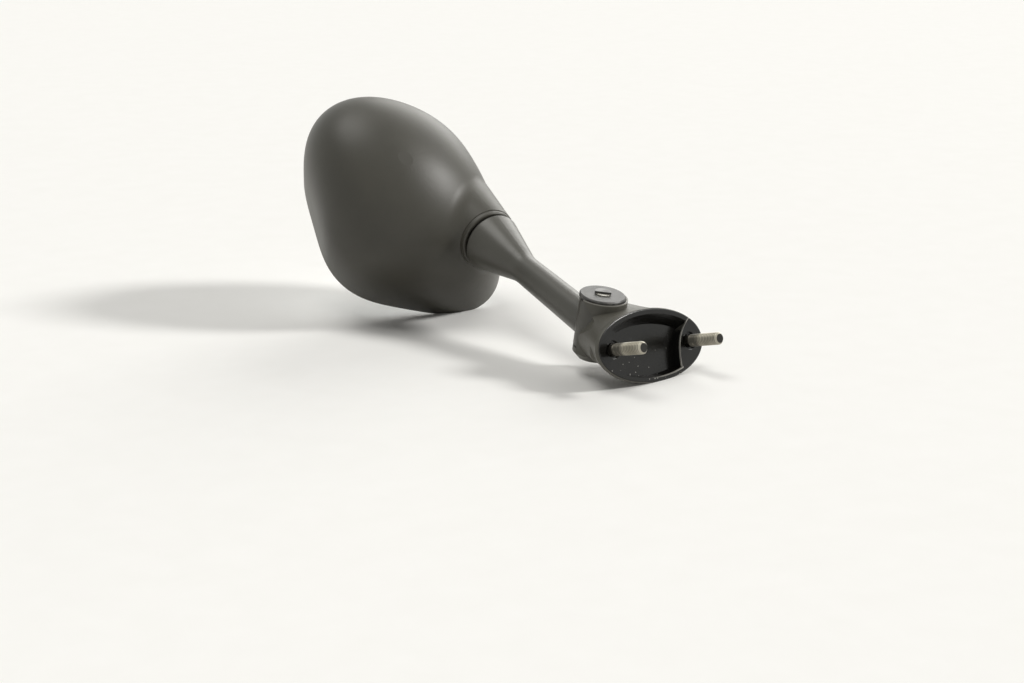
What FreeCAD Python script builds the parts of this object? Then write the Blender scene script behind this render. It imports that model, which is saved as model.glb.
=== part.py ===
import FreeCAD, Part
import math
import os

# Folding motorcycle mirror, left hand. Lengths in mm, angles in degrees.
# Frame: origin on the mounting face midway between the studs, X along the stud
# line, the studs point along -Y, Z is up.

V = FreeCAD.Vector
os.makedirs("parts", exist_ok=True)

# Mounting flange and studs
STUD_SPACING = 50.0
STUD_DIAMETER = 6.0
STUD_PROUD = 20.0
STUD_DEPTH = 9.0
STUD_ROOT_STEP = 0.3
STUD_CHAMFER = 0.9
STUD_RECESS = 1.4
STUD_RECESS_DEPTH = 1.0
STUD_ROOT_RISE = 0.2
STUD_BOSS_RADIUS = 5.6
STUD_BOSS_COVER = 2.0
FLANGE_LONG = 69.0
FLANGE_SHORT = 35.0
FLANGE_THICK = 4.0
FLANGE_EDGE = 1.0
NECK_SETBACK = 0.2
POCKET_DEPTH = 5.0
POCKET_LIP = 2.4
POCKET_LAND_EDGE = ((19.2, -18.0), (18.3, -11.0), (18.2, -4.0), (19.8, 3.1), (24.9, 9.8), (30.0, 16.0))
POCKET_TAPER = 3.2
POCKET_DROP = 1.8
DRAIN_DIAMETER = 2.6
DRAIN_ANGLE = 60.0

# Fold pivot: where its axis meets the arm axis, and how it leans
PIVOT_X = -12.15
PIVOT_Y = 22.75
PIVOT_Z = 10.2
PIVOT_LEAN_ANGLE = 24.9
PIVOT_SIDE_ANGLE = 4.2
KNUCKLE_RADIUS = 10.5
KNUCKLE_BOTTOM = -8.4
KNUCKLE_TOP = 14.8
SEAT_GAP = 0.4
WASHER_THICK = 0.8
LUG_RADIUS = 10.4
LUG_THICK = 4.8
LUG_CHAMFER = 2.2
WALL_RADIUS = 12.1
WALL_CHAMFER = 3.4
CAP_SHOWS = 1.4
CAP_GAP = 0.3
PIN_DIAMETER = 8.0
PIN_RUNNING_GAP = 0.05
PIN_SHOULDER = 0.6
PIN_TIP = 1.3
PIN_FLAT = 2.4
PIN_HEAD_RIM = 0.45
PIN_STEP_RISE = 0.5
PIN_STEP_FROM_AXIS = 0.9
PIN_TURN_ANGLE = 230.0
CAP_DIAMETER = 22.0
CAP_THICK = 2.0
CAP_EDGE = 0.5
NUT_ACROSS_FLATS = 11.5
NUT_THICK = 2.2
SPRING_WASHER_THICK = 0.5
SPRING_WASHER_OUTER = 6.8
NUT_WELL_GAP = 0.6
NECK_WAIST_SHARE = 0.62
NECK_HEIGHT_SHARE = 0.80
NECK_BELOW_WALL = 1.2

# Notch that lets the arm fold: corner seen from outside, and its two slopes
NOTCH_TURN_ANGLE = 229.0
NOTCH_SIDE = 3.1
NOTCH_HEIGHT = 9.1
NOTCH_UPPER_ANGLE = 48.0
NOTCH_LOWER_ANGLE = 60.0

# Arm: heading and rise seen from the pivot, stem and flared end
ARM_HEADING_ANGLE = 83.3
ARM_RISE_ANGLE = 4.7
ARM_REACH = 103.8
STEM_ROOT_RADIUS = 8.2
STEM_END_RADIUS = 7.25
FLARE_LENGTH = 31.1
FLARE_RADIUS = 15.4
FLARE_BLEND = 24.0
FLARE_EDGE = 0.7
FLARE_TO_BALL = 7.0
CUP_GAP = 0.4

# Ball joint
BALL_RADIUS = 8.0
BALL_NECK_RADIUS = 4.2
BALL_RUNNING_GAP = 0.06
LINER_THICK = 1.6
LINER_MOUTH_ANGLE = 48.0
LINER_BACK_HOLE = 4.0
SOCKET_WALL = 1.6
SOCKET_MOUTH_ANGLE = 50.0
SOCKET_FRONT = 6.0
SOCKET_BORE_START = 1.0
SOCKET_LENGTH = 15.0
SOCKET_FLANGE_RADIUS = 16.2
SOCKET_FLANGE_THICK = 2.5
SOCKET_BORE_GAP = 0.1
SOCKET_FLANGE_GAP = 0.4
SOCKET_ROOM = 23.0
STUD_SHANK_RADIUS = 4.0
STUD_SHANK_LENGTH = 20.0
STUD_SHOULDER_RADIUS = 7.0
STUD_SHOULDER_THICK = 2.0
SPOT_FACE = 1.0
PRESSURE_CUP_LENGTH = 9.5
PRESSURE_CUP_GAP = 0.15
SPRING_WIRE = 1.2
SPRING_MEAN_RADIUS = 7.4
SPRING_TURNS = 3.0
COVER_THICK = 2.0
SOCKET_SCREW_CIRCLE = 13.8
SOCKET_SCREW_RADIUS = 1.25
SOCKET_SCREW_HEAD = 2.2
SOCKET_SCREW_HEAD_THICK = 1.6
SOCKET_SCREW_REACH = 9.0

# Mirror head: which way its back points, its turn and the spot where the arm axis enters it
HEAD_YAW_ANGLE = 16.96
HEAD_PITCH_ANGLE = 19.92
HEAD_ROLL_ANGLE = 33.31
SPOT_ALONG_SHARE = -0.71637
SPOT_ACROSS_SHARE = -0.04311
HEAD_MEAN_RADIUS = 53.5
HEAD_OVAL_SHARE = 0.11
HEAD_EGG_SHARE = -0.003
HEAD_EGG_SKEW_SHARE = -0.0264
HEAD_CORNER_SHARE = 0.0447
HEAD_CORNER_SKEW_SHARE = 0.023
HEAD_DEPTH = 66.3
HEAD_LEAN_ALONG = 14.0
HEAD_LEAN_ACROSS = 10.0
HEAD_SHOULDER_POWER = 3.62
HEAD_ROUNDNESS_POWER = 1.905
HEAD_WALL = 2.6
COLLAR_END = 4.9
COLLAR_WALL = 1.5
COLLAR_DRAFT_ANGLE = 8.0
COLLAR_EDGE = 1.0
COLLAR_STEP = 1.6
COLLAR_ROOT = 28.0
COLLAR_FOOT = 2.6
FOOT_CLEARANCE = 0.4
SWELL_STEP = 0.3
SWELL_DEPTH_SHARE = 0.635
SWELL_RADIUS_SHARE = 0.56
SWELL_CLEARANCE = 0.55
SWELL_TURN_ANGLE = 250.0
SWELL_BLEND = 14.0

# Glass and its holder, heights measured from the rim plane inwards
GLASS_CURVE_RADIUS = 1400.0
GLASS_INSET = 0.8
GLASS_THICK = 3.4
GLASS_GAP = 0.7
PAD_THICK = 1.0
PAD_MARGIN = 5.0
HOLDER_THICK = 2.4
HOLDER_GAP = 1.5
HOLDER_SCREW_RADIUS = 1.5
HOLDER_SCREW_HEAD = 2.8
HOLDER_SCREW_LENGTH = 10.0
HOLDER_BOSS_RADIUS = 4.0
HOLDER_BOSS_SHARE = 0.68
HOLDER_BOSS_ANGLES = (-5.0, 118.0, 245.0)


# Frames
def unit(vector):
    return vector / vector.Length


def frame_of(origin, x_axis, z_axis):
    """Placement with the given z axis and the x axis as near as it can be."""
    z = unit(z_axis)
    x = unit(x_axis - z * x_axis.dot(z))
    y = z.cross(x)
    matrix = FreeCAD.Matrix(
        x.x, y.x, z.x, origin.x,
        x.y, y.y, z.y, origin.y,
        x.z, y.z, z.z, origin.z,
        0, 0, 0, 1)
    return FreeCAD.Placement(matrix)


def put(shape, place):
    """Copy of a shape built in a local frame, moved to its place."""
    moved = shape.copy()
    moved.Placement = place.multiply(shape.Placement)
    return moved


def cos(angle):
    return math.cos(math.radians(angle))


def sin(angle):
    return math.sin(math.radians(angle))


pivot_point = V(PIVOT_X, PIVOT_Y, PIVOT_Z)
pivot_axis = V(-sin(PIVOT_SIDE_ANGLE),
               -cos(PIVOT_SIDE_ANGLE) * sin(PIVOT_LEAN_ANGLE),
               cos(PIVOT_SIDE_ANGLE) * cos(PIVOT_LEAN_ANGLE))
hinge = frame_of(pivot_point, V(1, 0, 0), pivot_axis)

arm_local = V(cos(ARM_RISE_ANGLE) * cos(ARM_HEADING_ANGLE),
              cos(ARM_RISE_ANGLE) * sin(ARM_HEADING_ANGLE),
              sin(ARM_RISE_ANGLE))
arm_axis = hinge.Rotation.multVec(arm_local)
ball_centre = pivot_point + arm_axis * ARM_REACH
arm = frame_of(pivot_point, pivot_axis, arm_axis)
socket = frame_of(ball_centre, pivot_axis, arm_axis)

head_back = V(-sin(HEAD_YAW_ANGLE) * cos(HEAD_PITCH_ANGLE),
              -cos(HEAD_YAW_ANGLE) * cos(HEAD_PITCH_ANGLE),
              sin(HEAD_PITCH_ANGLE))
head_upright = unit(V(0, 0, 1) - head_back * head_back.z)
head_side = head_upright.cross(head_back)
head_long = head_upright * cos(HEAD_ROLL_ANGLE) - head_side * sin(HEAD_ROLL_ANGLE)
head_across = head_back.cross(head_long)


# Small shape helpers, all along the local z axis
def rod(radius, low, high, x=0.0, y=0.0):
    return Part.makeCylinder(radius, high - low, V(x, y, low))


def tube(outer, inner, low, high):
    return rod(outer, low, high).cut(rod(inner, low - 1, high + 1))


def turned(points):
    """Solid of revolution about z from (radius, z) corner points."""
    corners = [V(r, 0, z) for r, z in points]
    wire = Part.makePolygon(corners + corners[:1])
    return Part.Face(wire).revolve(V(0, 0, 0), V(0, 0, 1), 360)


def ring_of(shape, count, start=0.0):
    """Copies of a shape spread evenly round the local z axis."""
    copies = []
    for index in range(count):
        copy = shape.copy()
        copy.rotate(V(0, 0, 0), V(0, 0, 1), start + 360.0 * index / count)
        copies.append(copy)
    return copies


def hexagon(across_flats, low, high):
    corner = across_flats / math.sqrt(3)
    points = [V(corner * cos(60 * k), corner * sin(60 * k), low) for k in range(7)]
    return Part.Face(Part.makePolygon(points)).extrude(V(0, 0, high - low))


def closed_curve(points):
    spline = Part.BSplineCurve()
    spline.interpolate(Points=points, PeriodicFlag=True)
    return Part.Wire(spline.toShape())


def rounded(value, power):
    """Signed power, which squares off a cosine or sine."""
    return math.copysign(abs(value) ** (2.0 / power), value)


# Mirror head surfaces
OUTLINE_STEPS = 48
PROFILE_STEPS = 13


def outline_radius(angle, shrink, share=0.0):
    """Mean radius with an oval wave; the egg and corner waves fade towards the back."""
    corners = (HEAD_EGG_SHARE * cos(3 * angle) + HEAD_EGG_SKEW_SHARE * sin(3 * angle)
               + HEAD_CORNER_SHARE * cos(4 * angle) + HEAD_CORNER_SKEW_SHARE * sin(4 * angle))
    wave = 1 + HEAD_OVAL_SHARE * cos(2 * angle) + corners * (1 - share ** 2)
    return HEAD_MEAN_RADIUS * wave - shrink


def in_dome(point):
    """True for a point inside the dome; the point is measured from the rim centre."""
    share = point.dot(head_back) / HEAD_DEPTH
    if share <= 0 or share >= 1:
        return False
    scale = (1 - share ** HEAD_SHOULDER_POWER) ** (1 / HEAD_ROUNDNESS_POWER)
    along = point.dot(head_long) - HEAD_LEAN_ALONG * share
    across = point.dot(head_across) - HEAD_LEAN_ACROSS * share
    angle = math.degrees(math.atan2(across, along))
    return math.hypot(along, across) < outline_radius(angle, 0.0, share) * scale


def skin_between(inner, outer):
    """Point where the dome's skin is crossed between an inner and an outer point, by halving."""
    for step in range(40):
        middle = (inner + outer) / 2
        if in_dome(middle):
            inner = middle
        else:
            outer = middle
    return inner


def round_arm(angle):
    """Direction square to the arm axis at an angle round it."""
    return socket.Rotation.multVec(V(cos(angle), sin(angle), 0))


# The foot of the collar stands a clearance outside the skin where the skin comes nearest to it
foot_radius = FLARE_RADIUS + COLLAR_FOOT * math.tan(math.radians(COLLAR_DRAFT_ANGLE)) + SWELL_STEP
foot_low = COLLAR_FOOT - COLLAR_END
spot = (head_long * SPOT_ALONG_SHARE + head_across * SPOT_ACROSS_SHARE) * HEAD_MEAN_RADIUS
pierced = skin_between(spot + head_back * 0.001, spot + head_back * HEAD_DEPTH)
entries = []
for step in range(36):
    beside = pierced + round_arm(10.0 * step) * foot_radius
    entry = skin_between(beside + arm_axis * HEAD_MEAN_RADIUS * 0.6, beside - arm_axis * HEAD_MEAN_RADIUS)
    entries.append((entry - pierced).dot(arm_axis))
ball_in_head = pierced + arm_axis * (min(entries) - foot_low - FOOT_CLEARANCE)
rim_centre = ball_centre - ball_in_head
head = frame_of(rim_centre, head_long, head_back)


def head_section(scale, height, shrink, share):
    """One closed section of the head, at a share of its depth, parallel to the rim plane."""
    points = []
    for step in range(OUTLINE_STEPS):
        angle = 360.0 * step / OUTLINE_STEPS
        radius = outline_radius(angle, shrink, share) * scale
        x = radius * cos(angle) + HEAD_LEAN_ALONG * share
        y = radius * sin(angle) + HEAD_LEAN_ACROSS * share
        points.append(V(x, y, height))
    return closed_curve(points)


def dome_profile():
    """Even steps along the dome's profile, as (scale, share of the depth)."""
    fine = []
    for step in range(401):
        turn = 0.5 * math.pi * step / 400
        fine.append((math.cos(turn) ** (2 / HEAD_ROUNDNESS_POWER),
                     math.sin(turn) ** (2 / HEAD_SHOULDER_POWER)))
    lengths = [0.0]
    for before, after in zip(fine, fine[1:]):
        lengths.append(lengths[-1] + math.hypot(after[0] - before[0], after[1] - before[1]))
    chosen = []
    for step in range(PROFILE_STEPS):
        target = lengths[-1] * 0.955 * step / (PROFILE_STEPS - 1)
        nearest = min(range(len(fine)), key=lambda i: abs(lengths[i] - target))
        chosen.append(fine[nearest])
    return chosen


def dome(shrink, below):
    """Closed dome from the rim plane (or a little below it) to its back."""
    depth = HEAD_DEPTH - shrink
    wires = []
    if below > 0:
        wires.append(head_section(1.0, -below, shrink, 0.0))
    for scale, share in dome_profile():
        wires.append(head_section(scale, depth * share, shrink, share))
    return Part.makeLoft(wires, True, False)


def plate(shrink, low, high):
    """Flat plate of the head's outline that leans along with the housing."""
    share = (low + high) / 2 / HEAD_DEPTH
    face = Part.Face(head_section(1.0, low, shrink, share))
    return face.extrude(V(0, 0, high - low))


# Nodes, each written to its own file
def save(name, shape):
    shape.exportStep("parts/" + name + ".step")
    print(name, len(shape.Solids), round(shape.Volume / 1000.0, 2), "cm3", shape.isValid())


# Heights along the pivot axis, from the bottom up
washer_low = KNUCKLE_BOTTOM - WASHER_THICK
lug_low = washer_low - LUG_THICK
cap_low = KNUCKLE_TOP + WASHER_THICK
cap_high = cap_low + CAP_THICK
wall_high = cap_high - CAP_SHOWS
pin_radius = PIN_DIAMETER / 2
well_high = lug_low + NUT_THICK + 2 * SPRING_WASHER_THICK + 0.2
well_radius = SPRING_WASHER_OUTER + NUT_WELL_GAP
tip_radius = pin_radius - PIN_SHOULDER

# Base casting: flange, neck, pivot lug and wall
turn_to_face = FreeCAD.Placement(V(0, 0, 0), FreeCAD.Rotation(V(1, 0, 0), 90))


def face_ellipse(long_half, short_half, y, drop=0.0):
    """Ellipse wire standing in a plane of constant y."""
    ellipse = Part.Ellipse(V(0, 0, 0), long_half, short_half)
    wire = Part.Wire(ellipse.toShape())
    return put(wire, FreeCAD.Placement(V(0, y, -drop), turn_to_face.Rotation))


def neck_section(centre, side, up, half_side, half_up, power):
    points = []
    for step in range(24):
        angle = 15.0 * step + 3.0
        across = side * (half_side * rounded(cos(angle), power))
        along = up * (half_up * rounded(sin(angle), power))
        points.append(centre + across + along)
    return closed_curve(points)


flange_face = Part.Face(face_ellipse(FLANGE_LONG / 2, FLANGE_SHORT / 2, 0.0))
flange = flange_face.extrude(V(0, FLANGE_THICK / 2, 0))
flange = flange.makeFillet(FLANGE_EDGE, [e for e in flange.Edges if e.BoundBox.YMax < 0.01])

hinge_x = hinge.Rotation.multVec(V(1, 0, 0))
wall_middle = pivot_point + pivot_axis * ((wall_high + lug_low) / 2)
wall_half = (wall_high - lug_low) / 2
neck_root = V(0, FLANGE_THICK / 2, 0)
waist = neck_root * 0.45 + wall_middle * 0.55
waist_up = unit(V(0, 0, 1) + pivot_axis)
neck = Part.makeLoft([
    neck_section(neck_root, V(1, 0, 0), V(0, 0, 1),
                 FLANGE_LONG / 2 - NECK_SETBACK, FLANGE_SHORT / 2 - NECK_SETBACK, 2.0),
    neck_section(waist, unit(V(1, 0, 0) + hinge_x), waist_up,
                 NECK_WAIST_SHARE * FLANGE_LONG / 2, NECK_HEIGHT_SHARE * FLANGE_SHORT / 2, 2.4),
    neck_section(wall_middle, hinge_x, pivot_axis, WALL_RADIUS, wall_half - NECK_BELOW_WALL, 3.0),
], True, False)
beyond = 2 * FLANGE_LONG
front_half = Part.makeBox(2 * beyond, beyond, 2 * beyond, V(-beyond, -beyond, -beyond))
wall = rod(WALL_RADIUS, lug_low, wall_high)
wall = wall.makeChamfer(WALL_CHAMFER, [e for e in wall.Edges if e.BoundBox.ZMax < lug_low + 0.01])
wall = put(wall.common(front_half), hinge)
lug = rod(LUG_RADIUS, lug_low, washer_low)
lug = lug.makeChamfer(LUG_CHAMFER, [e for e in lug.Edges if e.BoundBox.ZMax < lug_low + 0.01])
lug = put(lug, hinge)

seat = rod(KNUCKLE_RADIUS + SEAT_GAP, washer_low, beyond)
seat = seat.fuse(rod(CAP_DIAMETER / 2 + CAP_GAP, cap_low, beyond))
open_back = Part.makeBox(2 * beyond, beyond, beyond, V(-beyond, 0, washer_low))
notch_face = Part.Face(Part.makePolygon([
    V(0, -NOTCH_SIDE, NOTCH_HEIGHT),
    V(0, -NOTCH_SIDE - beyond, NOTCH_HEIGHT + beyond * math.tan(math.radians(NOTCH_UPPER_ANGLE))),
    V(0, -NOTCH_SIDE - beyond, NOTCH_HEIGHT - beyond * math.tan(math.radians(NOTCH_LOWER_ANGLE))),
    V(0, -NOTCH_SIDE, NOTCH_HEIGHT),
]))
notch = notch_face.extrude(V(beyond, 0, 0))
notch.rotate(V(0, 0, 0), V(0, 0, 1), NOTCH_TURN_ANGLE)
notch = notch.common(rod(beyond, washer_low, beyond))

pocket_top = neck_section(V(0, -0.5, 0), V(1, 0, 0), V(0, 0, 1),
                          FLANGE_LONG / 2 - POCKET_LIP, FLANGE_SHORT / 2 - POCKET_LIP, 2.0)
pocket_floor = neck_section(V(0, POCKET_DEPTH, -POCKET_DROP), V(1, 0, 0), V(0, 0, 1),
                            FLANGE_LONG / 2 - POCKET_LIP - POCKET_TAPER,
                            FLANGE_SHORT / 2 - POCKET_LIP - POCKET_TAPER, 2.0)
pocket = Part.makeLoft([pocket_top, pocket_floor], True, True)


def land_edge(side):
    """Curved line where the pocket stops short of a stud's land."""
    line = Part.BSplineCurve()
    line.interpolate(Points=[V(side * x, -2, z) for x, z in POCKET_LAND_EDGE])
    return line.toShape()


right_edge = land_edge(1)
left_edge = land_edge(-1)
between_lands = Part.Face(Part.Wire([
    right_edge,
    Part.makeLine(right_edge.lastVertex().Point, left_edge.lastVertex().Point),
    left_edge,
    Part.makeLine(left_edge.firstVertex().Point, right_edge.firstVertex().Point),
]))
pocket = pocket.common(between_lands.extrude(V(0, 40, 0)))

stud_bosses = []
for side in (-1, 1):
    boss = rod(STUD_BOSS_RADIUS, -STUD_DEPTH - STUD_BOSS_COVER, -FLANGE_THICK + 1.0)
    boss = boss.makeFillet(1.5, [e for e in boss.Edges if e.BoundBox.ZMax < -STUD_DEPTH])
    stud_bosses.append(put(boss, FreeCAD.Placement(V(side * STUD_SPACING / 2, 0, 0), turn_to_face.Rotation)))
base = flange.fuse([neck, wall, lug] + stud_bosses)
base = base.cut([put(seat, hinge), put(open_back, hinge), put(notch, hinge)])
base = base.cut(pocket)
base = base.cut(put(rod(pin_radius, -beyond, cap_high), hinge))
base = base.cut(put(rod(well_radius, -beyond, well_high), hinge))
studs = []
for side in (-1, 1):
    x = side * STUD_SPACING / 2
    place = FreeCAD.Placement(V(x, 0, 0), FreeCAD.Rotation(V(1, 0, 0), 90))
    radius = STUD_DIAMETER / 2
    root_radius = radius + STUD_ROOT_STEP
    root_high = STUD_ROOT_RISE - STUD_RECESS_DEPTH
    stud = turned([(0, -STUD_DEPTH), (root_radius, -STUD_DEPTH),
                   (root_radius, root_high), (radius, root_high),
                   (radius, STUD_PROUD - STUD_CHAMFER), (radius - STUD_CHAMFER, STUD_PROUD), (0, STUD_PROUD)])
    studs.append(put(stud, place))
    recess = rod(radius + STUD_RECESS, -STUD_RECESS_DEPTH, 5)
    base = base.cut([put(rod(root_radius, -STUD_DEPTH, 5), place), put(recess, place)])
drain_x = FLANGE_LONG / 2 * cos(-DRAIN_ANGLE)
drain_z = FLANGE_SHORT / 2 * sin(-DRAIN_ANGLE)
drain = put(rod(DRAIN_DIAMETER / 2, -3, 1), FreeCAD.Placement(V(drain_x, 0, drain_z), turn_to_face.Rotation))
base = base.cut(drain)
save("base_casting", base)
save("mounting_studs", Part.makeCompound(studs))

# Fold pivot pieces
flat = Part.makeBox(CAP_DIAMETER, CAP_DIAMETER, CAP_DIAMETER, V(PIN_FLAT, -CAP_DIAMETER / 2, cap_low))
flat.rotate(V(0, 0, 0), V(0, 0, 1), PIN_TURN_ANGLE)
tip = rod(tip_radius, cap_low, cap_high).cut(flat)
tip_head = rod(tip_radius + PIN_HEAD_RIM, cap_high, cap_high + PIN_TIP)
step_corner = V(PIN_STEP_FROM_AXIS, -CAP_DIAMETER / 2, cap_high + PIN_STEP_RISE)
step = Part.makeBox(CAP_DIAMETER, CAP_DIAMETER, CAP_DIAMETER, step_corner)
step.rotate(V(0, 0, 0), V(0, 0, 1), PIN_TURN_ANGLE)
tip_head = tip_head.cut(step)
pin = rod(pin_radius, lug_low + 0.4, cap_low).fuse([tip, tip_head])
save("pivot_pin", put(pin.removeSplitter(), hinge))
cap = rod(CAP_DIAMETER / 2, cap_low, cap_high)
cap = cap.makeChamfer(CAP_EDGE, [e for e in cap.Edges if e.BoundBox.ZMin > cap_high - 0.01])
cap = cap.cut(tip)
save("pivot_cap", put(cap, hinge))
save("upper_washer", put(tube(KNUCKLE_RADIUS - 0.5, pin_radius, KNUCKLE_TOP, cap_low), hinge))
save("lower_washer", put(tube(KNUCKLE_RADIUS - 0.5, pin_radius, washer_low, KNUCKLE_BOTTOM), hinge))
spring_low = well_high - 2 * SPRING_WASHER_THICK
springs = []
for index in range(2):
    low = spring_low + index * SPRING_WASHER_THICK
    springs.append(tube(SPRING_WASHER_OUTER, pin_radius, low, low + SPRING_WASHER_THICK))
save("spring_washers", put(Part.makeCompound(springs), hinge))
nut = hexagon(NUT_ACROSS_FLATS, spring_low - NUT_THICK, spring_low).cut(rod(pin_radius, -60, 60))
save("pivot_nut", put(nut, hinge))

# Arm: knuckle, stem and flared end with its cup
flare_end = ARM_REACH - FLARE_TO_BALL
flare_start = flare_end - FLARE_LENGTH
cup_radius = math.hypot(FLARE_RADIUS, COLLAR_END) + CUP_GAP
slope_stem = math.atan2(STEM_END_RADIUS - STEM_ROOT_RADIUS, flare_start)
slope_flare = math.atan2(FLARE_RADIUS - STEM_END_RADIUS, FLARE_LENGTH)
tangent = FLARE_BLEND * math.tan((slope_flare - slope_stem) / 2)


def along(slope, distance):
    return V(math.sin(slope) * distance, 0, math.cos(slope) * distance)


corner = V(STEM_END_RADIUS, 0, flare_start)
blend_start = corner - along(slope_stem, tangent)
blend_end = corner + along(slope_flare, tangent)
blend_centre = blend_start + V(math.cos(slope_stem), 0, -math.sin(slope_stem)) * FLARE_BLEND
half_slope = (slope_stem + slope_flare) / 2
blend_middle = blend_centre - V(math.cos(half_slope), 0, -math.sin(half_slope)) * FLARE_BLEND
lip = V(FLARE_RADIUS, 0, flare_end)
stem_face = Part.Face(Part.Wire([
    Part.makeLine(V(0, 0, 0), V(STEM_ROOT_RADIUS, 0, 0)),
    Part.makeLine(V(STEM_ROOT_RADIUS, 0, 0), blend_start),
    Part.Arc(blend_start, blend_middle, blend_end).toShape(),
    Part.makeLine(blend_end, lip),
    Part.makeLine(lip, V(0, 0, flare_end)),
    Part.makeLine(V(0, 0, flare_end), V(0, 0, 0)),
]))
stem = stem_face.revolve(V(0, 0, 0), V(0, 0, 1), 360)
flare_rim = [e for e in stem.Edges if e.BoundBox.ZMin > flare_end - 0.01 and e.Length > 20]
stem = stem.makeFillet(FLARE_EDGE, flare_rim)
spot_low = ARM_REACH - cup_radius - SPOT_FACE
cup = Part.makeSphere(cup_radius, V(0, 0, ARM_REACH))
spot = rod(STUD_SHOULDER_RADIUS + 0.3, spot_low, ARM_REACH)
shank_hole = rod(STUD_SHANK_RADIUS, spot_low - STUD_SHANK_LENGTH, ARM_REACH)
stem = stem.cut([cup, spot, shank_hole])
knuckle = rod(KNUCKLE_RADIUS, KNUCKLE_BOTTOM, KNUCKLE_TOP)
arm_body = put(stem, arm).fuse(put(knuckle, hinge))
arm_body = arm_body.cut(put(rod(pin_radius + PIN_RUNNING_GAP, -60, 60), hinge))
save("arm", arm_body)

# Ball joint, built about the ball centre with z into the head
shoulder_low = -cup_radius - SPOT_FACE
ball = Part.makeSphere(BALL_RADIUS)
stud_body = ball.fuse([
    rod(BALL_NECK_RADIUS, shoulder_low, 0),
    rod(STUD_SHOULDER_RADIUS, shoulder_low, shoulder_low + STUD_SHOULDER_THICK),
    rod(STUD_SHANK_RADIUS, shoulder_low - STUD_SHANK_LENGTH, shoulder_low),
])
save("ball_stud", put(stud_body.removeSplitter(), socket))


def mouth(half_angle):
    """Cone from the ball centre out through the front."""
    length = 40.0
    return Part.makeCone(0, length * math.tan(math.radians(half_angle)), length, V(0, 0, 0), V(0, 0, -1))


liner_in = BALL_RADIUS + BALL_RUNNING_GAP
liner_out = liner_in + LINER_THICK
liner = Part.makeSphere(liner_out).cut(Part.makeSphere(liner_in))
liner = liner.cut([mouth(LINER_MOUTH_ANGLE), rod(LINER_BACK_HOLE, 0, 40)])
save("ball_liner", put(liner, socket))

seat_radius = liner_out + BALL_RUNNING_GAP
socket_radius = seat_radius + SOCKET_WALL
flange_high = SOCKET_LENGTH + SOCKET_FLANGE_THICK
bore_radius = seat_radius + 0.2
shell = Part.makeSphere(socket_radius).fuse(rod(socket_radius, 0, SOCKET_LENGTH))
shell = shell.cut(Part.makeBox(80, 80, 40, V(-40, -40, -SOCKET_FRONT - 40)))
shell = shell.fuse(rod(SOCKET_FLANGE_RADIUS, SOCKET_LENGTH, flange_high)).removeSplitter()
shell = shell.cut([Part.makeSphere(seat_radius),
                   rod(bore_radius, SOCKET_BORE_START, 60),
                   mouth(SOCKET_MOUTH_ANGLE)])
screw_hole = rod(SOCKET_SCREW_RADIUS, -40, 60, SOCKET_SCREW_CIRCLE)
shell = shell.cut(ring_of(screw_hole, 3, 30))
save("socket_body", put(shell, socket))

cup_low = SOCKET_BORE_START + 1.0
cup_high = cup_low + PRESSURE_CUP_LENGTH
pressure_cup = rod(bore_radius - PRESSURE_CUP_GAP, cup_low, cup_high).cut(Part.makeSphere(seat_radius))
save("pressure_cup", put(pressure_cup, socket))
spring_room = flange_high - cup_high - 2 * (SPRING_WIRE / 2)
path = Part.makeHelix(spring_room / SPRING_TURNS, spring_room, SPRING_MEAN_RADIUS)
wire = Part.Wire(Part.Circle(V(SPRING_MEAN_RADIUS, 0, 0), V(0, 1, 0), SPRING_WIRE / 2).toShape())
coil = Part.Wire(path.Edges).makePipeShell([wire], True, True)
coil.translate(V(0, 0, cup_high + SPRING_WIRE / 2))
save("pressure_spring", put(coil, socket))
cover_high = flange_high + COVER_THICK
cover = rod(SOCKET_FLANGE_RADIUS, flange_high, cover_high).cut(ring_of(screw_hole, 3, 30))
save("socket_cover", put(cover, socket))
screw_low = SOCKET_LENGTH - SOCKET_SCREW_REACH
screw = rod(SOCKET_SCREW_RADIUS, screw_low, cover_high, SOCKET_SCREW_CIRCLE)
head_high = cover_high + SOCKET_SCREW_HEAD_THICK
screw = screw.fuse(rod(SOCKET_SCREW_HEAD, cover_high, head_high, SOCKET_SCREW_CIRCLE))
save("socket_screws", put(Part.makeCompound(ring_of(screw.removeSplitter(), 3, 30)), socket))

# Housing: dome and collar outside, hollow with bosses inside
pad_low = GLASS_INSET + GLASS_THICK
holder_low = pad_low + PAD_THICK
holder_high = holder_low + HOLDER_THICK
outer = put(dome(0.0, 0.0), head)


def circle_at(radius, x, y, z):
    return Part.Wire(Part.Circle(V(x, y, z), V(0, 0, 1), radius).toShape())


def collar(depth):
    """Drafted boss from the collar's lip to a depth past the ball centre."""
    length = COLLAR_END + depth
    inner_radius = FLARE_RADIUS + length * math.tan(math.radians(COLLAR_DRAFT_ANGLE))
    cone = Part.makeCone(FLARE_RADIUS, inner_radius, length, V(0, 0, -COLLAR_END))
    cone = cone.makeFillet(COLLAR_EDGE, [e for e in cone.Edges if e.BoundBox.ZMax < -COLLAR_END + 0.01])
    return put(cone, socket)


def swelling():
    """Slanting cone that draws the dome out to the foot of the collar."""
    foot = circle_at(foot_radius, 0, 0, foot_low)
    depth = SWELL_DEPTH_SHARE * HEAD_MEAN_RADIUS
    middle = ball_in_head + arm_axis * depth
    room = []
    for step in range(36):
        skin = skin_between(middle, middle + round_arm(10.0 * step) * 4 * HEAD_MEAN_RADIUS)
        room.append((skin - middle).Length)
    root_radius = SWELL_RADIUS_SHARE * HEAD_MEAN_RADIUS
    offset = root_radius - min(room) + SWELL_CLEARANCE
    root = circle_at(root_radius, offset * cos(SWELL_TURN_ANGLE), offset * sin(SWELL_TURN_ANGLE), depth)
    return put(Part.makeLoft([foot, root], True, True), socket)


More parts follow.
